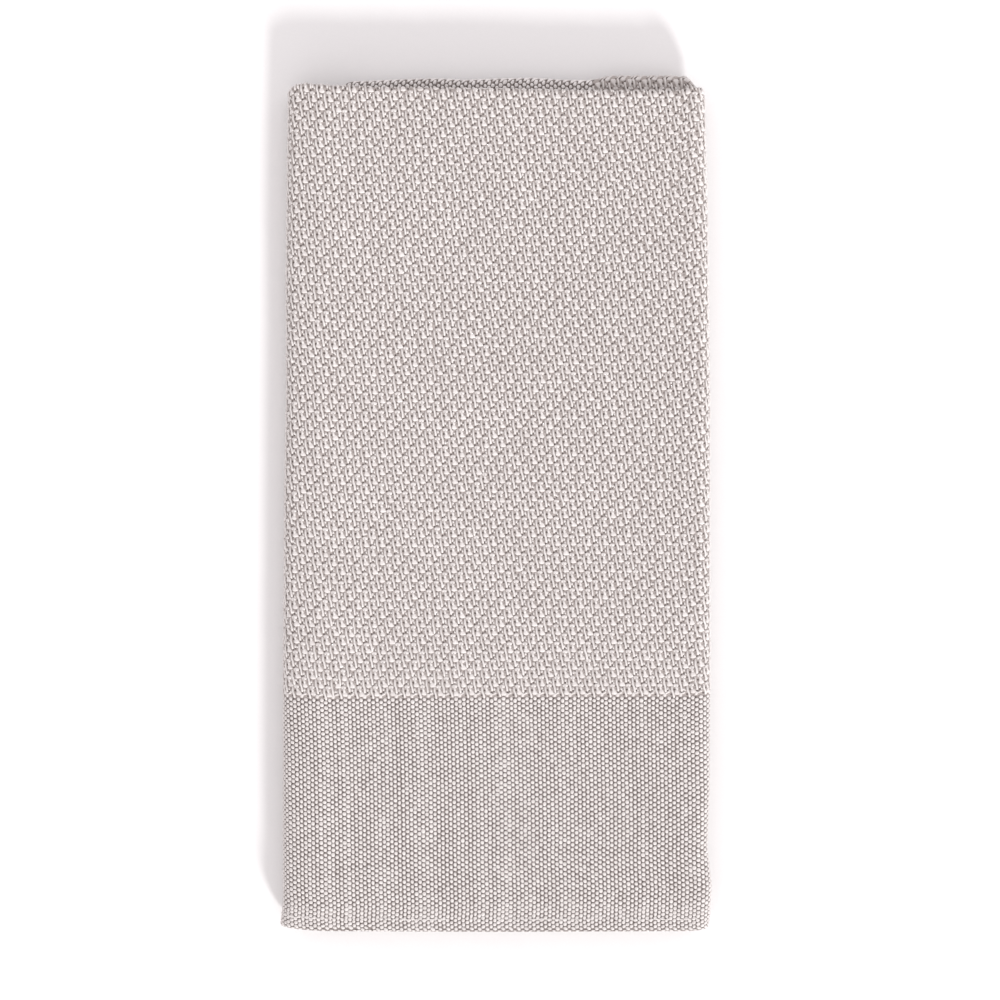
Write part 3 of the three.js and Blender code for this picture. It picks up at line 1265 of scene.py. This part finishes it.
@dataclass(frozen=True)
class Uneven:
    """How much yarns differ by chance, as standard deviations.

    Attributes:
        size: of each of a form's three sizes, as a share of it.
        place: of its place across and up, in mm.
        lean: of its turn in the cloth, in radians.
        tone: the middle tone, and how far tones stray from it.
    """

    size: float
    place: float
    lean: float
    tone: tuple[float, float]

    def tones(self, chance: Array) -> Array:
        """Turns chance numbers into tones, with 1 as the whitest."""
        return np.clip(self.tone[0] + self.tone[1] * chance, LEAST_TONE, 1)


@dataclass(frozen=True)
class HemRow:
    """How one row of the hem's beads differs from the border's.

    Attributes:
        start: place up at which the row starts.
        width: factor of the beads' width.
        length: factor of their length.
        rise: factor of their rise.
        lean: how far they are turned in the cloth, in radians.
    """

    start: float
    width: float = 1.0
    length: float = 1.0
    rise: float = 1.0
    lean: float = 0.0


@dataclass
class PlainBorder(TowelPiece):
    """Beads of the warp in the plain-woven border: one wherever a yarn passes over the weft."""

    half_across: float = 0.97
    half_up: float = 0.91
    rise: float = 0.46
    sunk: float = 0.12
    ground: float = 0.68
    edge_shear: float = 0.9
    # The yarn ends between the beads of the lowest row, that row, and the rows above it
    ends: HemRow = HemRow(start=0.26, width=1.1, length=0.42, rise=0.7)
    lowest: HemRow = HemRow(start=1.3, width=1.3, length=0.76, lean=-0.5)
    others: HemRow = HemRow(start=2.34, length=0.92, lean=0.3)
    ends_up: float = 0.88
    front_up: float = 250.0
    top_up: float = 430.0
    woven_edge: float = 0.4
    uneven: Uneven = Uneven(size=0.07, place=0.05, lean=0.10, tone=(0.92, 0.08))
    seed: int = 11

    def build(self) -> list[bpy.types.Object]:
        """Builds the beads of the hem, of the front border, and of the top folds behind it.

        Returns:
            The three objects.
        """
        plan, rng = self.plan, np.random.default_rng(self.seed)
        columns = np.arange(int(self.fold.cloth_width / plan.warp_pitch) + 2)
        rows = np.arange(-1, int(self.top_up / plan.bead_pitch))
        column, row = (part.ravel() for part in np.meshgrid(columns, rows, indexing="ij"))
        across = (column + 0.5) * plan.warp_pitch
        up = (row + 0.5 * (column % 2 == 0)) * plan.bead_pitch
        plain = plan.has(Weave.PLAIN, across, up)
        across, up = plan.drawn(across, up)
        count, uneven = len(across), self.uneven
        thick = 1 + uneven.size * rng.normal(size=len(columns))[column]
        pushed = uneven.place * rng.normal(size=(count, 2))
        size = 1 + uneven.size * rng.normal(size=(count, 3))
        size[:, 0] *= thick
        tone = uneven.tones(rng.normal(size=count))
        lean = uneven.lean * rng.normal(size=count)
        in_hem = np.clip(1 - up / self.fold.hem_depth, 0, 1)
        across = across + pushed[:, 0] + self.edge_shear * in_hem
        up = up + pushed[:, 1]
        kept = plain & covered_by_yarns(self.fold, across, up) & (up > self.ends.start)
        where = [up < self.lowest.start, up < self.others.start, in_hem > 0]
        hem = [self.ends, self.lowest, self.others]
        up = np.where(where[0], self.ends_up, up)
        size[:, 0] *= np.select(where, [row.width for row in hem], 1)
        size[:, 1] *= np.select(where, [row.length for row in hem], 1)
        size[:, 2] *= np.select(where, [row.rise for row in hem], 1)
        lean = lean + np.select(where, [row.lean for row in hem], 0)
        kept &= np.abs(across - self.size[0] / 2) < self.size[0] / 2 - self.woven_edge
        at = np.column_stack([across, up, np.full(count, self.ground)])
        bead = yarn_bead(self.half_across, self.half_up, self.rise, self.sunk)
        made = []
        for name, chosen in {
            "border_beads_hem": kept & (in_hem > 0),
            "border_beads_front": kept & (in_hem <= 0) & (up < self.front_up),
            "border_beads_top_fold": kept & (up >= self.front_up),
        }.items():
            forms = bead.repeated(at[chosen], size[chosen], lean[chosen], tone[chosen])
            made.append(self.folded(name, forms))
        return made


@dataclass
class LatticeCentre(TowelPiece):
    """Floats of the warp in the lattice weave: long floats, knots and small beads.

    Every form is given from the top of the motif's long float, as (across, up) in mm.
    """

    ground: float = 0.68
    sunk: float = 0.12
    knot_rise: float = 0.48
    # Rises of the floats' sections, as shares of their half widths
    float_rise: float = 0.85
    neck_rise: float = 0.8
    float_corners: int = 6
    top_up: float = 330.0
    least_length: float = 0.7
    edge_row: float = 3.0
    uneven: Uneven = Uneven(size=0.05, place=0.06, lean=0.025, tone=(0.93, 0.08))
    size_range: tuple[float, float] = (0.85, 1.15)
    seed: int = 23
    # Lines of (across, up, height, half width)
    long_float: Spine = (
        (-0.02, 0.35, -0.12, 0),
        (0.00, -0.05, 0.16, 0.42),
        (0.08, -1.40, 0.32, 0.48),
        (0.18, -2.72, 0.38, 0.50),
        (0.72, -4.10, 0.34, 0.50),
        (0.94, -5.30, 0.34, 0.53),
        (1.08, -6.35, 0.18, 0.49),
        (1.12, -6.85, -0.12, 0),
    )
    neck: Spine = (
        (1.86, 0.60, 0.00, 0),
        (1.88, 0.20, 0.22, 0.58),
        (2.02, -0.70, 0.24, 0.62),
        (2.34, -1.50, 0.24, 0.66),
        (2.66, -2.30, 0.10, 0),
    )
    speck: Spine = (
        (2.00, -4.32, -0.10, 0),
        (2.02, -4.66, 0.18, 0.48),
        (2.04, -5.12, 0.26, 0.56),
        (2.10, -5.60, 0.16, 0.46),
        (2.14, -5.92, -0.10, 0),
    )
    # What is left of a knot next to the border: a bead, and a small float beside it
    edge_bead: tuple[float, float] = (0.60, 0.05)
    edge_bead_half: tuple[float, float] = (0.86, 1.0)
    edge_bead_rise: float = 0.46
    edge_float: Spine = (
        (0.85, 0.15, -0.08, 0),
        (1.25, 0.45, 0.14, 0.34),
        (2.05, 0.95, 0.20, 0.46),
        (2.65, 1.25, 0.20, 0.62),
        (3.15, 1.45, -0.08, 0),
    )
    small_speck: Spine = (
        (2.62, -5.50, -0.08, 0),
        (2.64, -5.80, 0.12, 0.36),
        (2.72, -6.18, 0.16, 0.42),
        (2.82, -6.55, 0.10, 0.34),
        (2.88, -6.82, -0.08, 0),
    )
    # Outlines of the knot's two ends, counter-clockwise
    bar: tuple[tuple[float, float], ...] = (
        (0.60, 0.45),
        (1.00, -0.22),
        (2.00, -0.38),
        (2.95, -0.22),
        (3.40, 0.45),
        (2.98, 1.18),
        (1.95, 1.34),
        (0.98, 1.16),
    )
    foot: tuple[tuple[float, float], ...] = (
        (2.00, -1.35),
        (1.62, -2.10),
        (1.42, -2.95),
        (1.38, -3.55),
        (2.00, -3.92),
        (3.40, -3.92),
        (4.26, -3.55),
        (4.10, -2.95),
        (3.62, -2.15),
        (3.10, -1.45),
    )

    def _places(self) -> Array:
        """Where the motif repeats in the even weave, half dropped in every second row.

        Returns:
            Places across and up, one row each.
        """
        plan = self.plan
        columns = np.arange(-2, int(self.fold.cloth_width / plan.lattice_width) + 2)
        rows = np.arange(-1, int(self.top_up / plan.lattice_pitch) + 2)
        column, row = (part.ravel() for part in np.meshgrid(columns, rows, indexing="ij"))
        found = []
        for drop in (0.0, 0.5):
            across = (column + drop) * plan.lattice_width + plan.lattice_across
            up = (row + drop) * plan.lattice_pitch + plan.lattice_up + plan.border_up
            found.append(np.column_stack([across, up]))
        return np.concatenate(found)

    def _laid(self, form: YarnForms, at: Array, rng: np.random.Generator) -> YarnForms:
        """Repeats one form of the motif over the lattice, where it lies inside and shows.

        A form that would reach into the border is shortened, or left out if little remains.

        Args:
            form: the form, placed from the long float's top.
            at: the motif's places.
            rng: source of small differences.

        Returns:
            The repeats.
        """
        plan, count, uneven = self.plan, len(at), self.uneven
        middle = form.points[:, 0].mean()
        low, high = form.points[:, 1].min(), form.points[:, 1].max()
        room = at[:, 1] + high - plan.border_up
        length = np.clip(room / (high - low), 0, 1)
        top = np.maximum(at[:, 1] + high, plan.border_up)
        kept = plan.has(Weave.LATTICE, at[:, 0] + middle, top) & (length > self.least_length)
        across, up = plan.drawn(at[:, 0], at[:, 1] + high * (1 - length))
        across = across + uneven.place * rng.normal(size=count)
        up = up + uneven.place * rng.normal(size=count)
        for end in (low, high):
            kept &= covered_by_yarns(self.fold, across + middle, up + end * length)
        size = np.clip(1 + uneven.size * rng.normal(size=(count, 3)), *self.size_range)
        size[:, 1] *= length
        lean = uneven.lean * rng.normal(size=count)
        tone = uneven.tones(rng.normal(size=count))
        place = np.column_stack([across, up, np.full(count, self.ground)])
        return form.repeated(place[kept], size[kept], lean[kept], tone[kept])

    def _edge_bead(self) -> YarnForms:
        """The bead that stands for a knot next to the border."""
        bead = yarn_bead(*self.edge_bead_half, self.edge_bead_rise, self.sunk)
        return YarnForms(bead.points + [*self.edge_bead, 0], bead.faces, bead.tone)

    def build(self) -> list[bpy.types.Object]:
        """Builds the floats of the lattice.

        Returns:
            The four objects.
        """
        rng, at = np.random.default_rng(self.seed), self._places()
        past_border = at[:, 1] - self.plan.border_up
        whole = at[past_border > self.edge_row]
        cut = at[(past_border > 0) & (past_border <= self.edge_row)]
        long_float = yarn_float(self.long_float, self.float_rise, self.float_corners)
        floats = self._laid(long_float, whole, rng)
        ends = (self.bar, self.foot)
        knot = [yarn_dome(np.array(outline), self.knot_rise, self.sunk) for outline in ends]
        knot.append(yarn_float(self.neck, self.neck_rise))
        bars, feet, necks = (self._laid(form, whole, rng) for form in knot)
        small = [yarn_float(line, self.float_rise) for line in (self.speck, self.small_speck)]
        specks = [self._laid(form, whole, rng) for form in small]
        last = [self._edge_bead(), yarn_float(self.edge_float, self.neck_rise)]
        specks += [self._laid(form, cut, rng) for form in last]
        return [
            self.folded("lattice_long_floats", floats),
            self.folded("lattice_bars", YarnForms.together([bars, necks])),
            self.folded("lattice_feet", feet),
            self.folded("lattice_specks", YarnForms.together(specks)),
        ]


@dataclass
class HemSewing(TowelPiece):
    """Sewing of the free hem, and the yarn ends that turn round its edge."""

    stitch_up: float = 6.35
    stitch_lean_deg: float = 55.0
    stitch_rise: float = 0.9
    hidden_share: float = 0.25
    # A stitch as a line of (across, up, height, half width)
    stitch: Spine = (
        (0, 0.98, -0.05, 0),
        (0, 0.50, 0.34, 0.28),
        (0, 0.00, 0.44, 0.34),
        (0, -0.50, 0.34, 0.28),
        (0, -0.98, -0.05, 0),
    )
    # Half width, half length, rise and sunk depth of a turned yarn
    turned: tuple[float, float, float, float] = (0.92, 0.85, 0.25, 0.12)
    turned_depths: tuple[float, float] = (0.0, -1.0)
    edge_shear: float = 0.9
    ground: float = 0.68
    uneven_stitch: Uneven = Uneven(size=0.1, place=0.12, lean=0.25, tone=(1, 0))
    uneven_turned: Uneven = Uneven(size=0.08, place=0.06, lean=0, tone=(0.95, 0.06))
    seed: int = 31

    def build(self) -> list[bpy.types.Object]:
        """Builds the stitches and the turned yarns.

        Returns:
            The two objects.
        """
        return [self._stitches(), self._turned_yarns()]

    def _stitches(self) -> bpy.types.Object:
        """One short slanting stitch between every two warp yarns.

        Returns:
            The object.
        """
        rng, uneven = np.random.default_rng(self.seed), self.uneven_stitch
        pitch = self.plan.warp_pitch
        across = np.arange(1, int(self.fold.cloth_width / pitch)) * pitch
        count = len(across)
        up = np.full(count, self.stitch_up) + uneven.place * rng.normal(size=count)
        across = across + uneven.place * rng.normal(size=count)
        lean = math.radians(self.stitch_lean_deg) + uneven.lean * rng.normal(size=count)
        kept = covered_by_yarns(self.fold, across, up) & (rng.random(count) > self.hidden_share)
        at = np.column_stack([across, up, np.full(count, self.ground)])
        size = 1 + uneven.size * rng.normal(size=(count, 3))
        stitch = yarn_float(self.stitch, self.stitch_rise)
        forms = stitch.repeated(at[kept], size[kept], lean[kept], np.ones(int(kept.sum())))
        return self.folded("hem_sewing", forms)

    def _turned_yarns(self) -> bpy.types.Object:
        """Beads that turn round the hem's edge, two deep and half a pitch apart.

        Returns:
            The object.
        """
        rng, uneven = np.random.default_rng(self.seed + 1), self.uneven_turned
        pitch = self.plan.warp_pitch
        bead = yarn_bead(*self.turned)
        # The bead stands on the edge: its length runs down through the hem, its height outwards.
        turned = YarnForms(bead.points[:, [0, 2, 1]] * [1, -1, 1], bead.faces, bead.tone)
        parts = []
        for row, depth in enumerate(self.turned_depths):
            columns = np.arange(row % 2, int(self.fold.cloth_width / pitch), 2)
            pushed = uneven.place * rng.normal(size=len(columns))
            across = (columns + 0.5) * pitch + self.edge_shear + pushed
            across = across[covered_by_yarns(self.fold, across, np.zeros_like(across))]
            count = len(across)
            edge_up = np.full(count, self.fold.hem_edge_up)
            at = np.column_stack([across, edge_up, np.full(count, depth)])
            size = 1 + uneven.size * rng.normal(size=(count, 3))
            tone = uneven.tones(rng.normal(size=count))
            parts.append(turned.repeated(at, size, np.zeros(count), tone))
        return self.folded("hem_turned_yarns", YarnForms.together(parts))


# Studio


@dataclass
class Studio:
    """Floor, light and camera."""

    camera_mm: tuple[float, float, float] = (2.1, 1.4, 1159.0)
    lens_mm: float = 85.0
    sun_towards: tuple[float, float, float] = (17.8, -41.2, 20.0)
    sun_strength: float = 2.5
    sun_soft_deg: float = 9.0
    sky_strength: float = 0.92
    sky_tint: Colour = (1, 0.957, 0.975, 1)
    floor_size: float = 30.0

    def build(self) -> None:
        """Builds all three."""
        self._floor()
        self._light()
        self._camera()

    def _floor(self) -> None:
        """A flat sheet of paper under the towel."""
        half = self.floor_size / 2
        corners = [(-half, -half, 0), (half, -half, 0), (half, half, 0), (-half, half, 0)]
        mesh = bpy.data.meshes.new("floor")
        mesh.from_pydata(corners, [], [(0, 1, 2, 3)])
        floor = bpy.data.objects.new("floor", mesh)
        bpy.context.scene.collection.objects.link(floor)
        mesh.materials.append(FloorPaper().made())

    def _light(self) -> None:
        """One soft low light from the lower right, and an even sky."""
        data = bpy.data.lights.new("soft_key", "SUN")
        data.energy = self.sun_strength
        data.angle = math.radians(self.sun_soft_deg)
        lamp = bpy.data.objects.new("soft_key", data)
        lamp.rotation_euler = Vector(self.sun_towards).to_track_quat("Z", "Y").to_euler()
        bpy.context.scene.collection.objects.link(lamp)
        world = bpy.data.worlds.new("studio_sky")
        world.use_nodes = True
        sky = world.node_tree.nodes["Background"]
        sky.inputs["Color"].default_value = self.sky_tint
        sky.inputs["Strength"].default_value = self.sky_strength
        bpy.context.scene.world = world
        bpy.context.scene.view_settings.view_transform = "Standard"

    def _camera(self) -> None:
        """Looks straight down on the towel, with its top fold at the top of the picture."""
        data = bpy.data.cameras.new("overhead")
        data.lens = self.lens_mm
        data.sensor_width = 36
        camera = bpy.data.objects.new("overhead", data)
        camera.location = [part * MM for part in self.camera_mm]
        bpy.context.scene.collection.objects.link(camera)
        bpy.context.scene.camera = camera


def main() -> None:
    logging.basicConfig(level=logging.INFO, format="%(name)s %(message)s")
    Studio().build()
    fold = FoldPlan()
    plan = WeavePlan(fold)
    cloth = GroundCloth(fold, plan).build()
    yarns = PlainBorder(fold, plan).build()
    yarns += LatticeCentre(fold, plan).build()
    yarns += HemSewing(fold, plan).build()
    size = (fold.cloth_width, fold.cloth_length)
    cotton = WarpCotton().made(size)
    # The yarn on the top folds gets a whiter copy of the cotton: painted light that brightens the
    # beads lying in shade on the top folds
    cotton_painted_lighter = WarpCotton("warp_cotton_fold_painted_light", white=(0.95, 0.925, 0.91, 1)).made(size)
    for piece in yarns:
        painted_lighter = piece.name == "border_beads_top_fold"
        piece.data.materials.append(cotton_painted_lighter if painted_lighter else cotton)


if __name__ == "__main__":
    main()
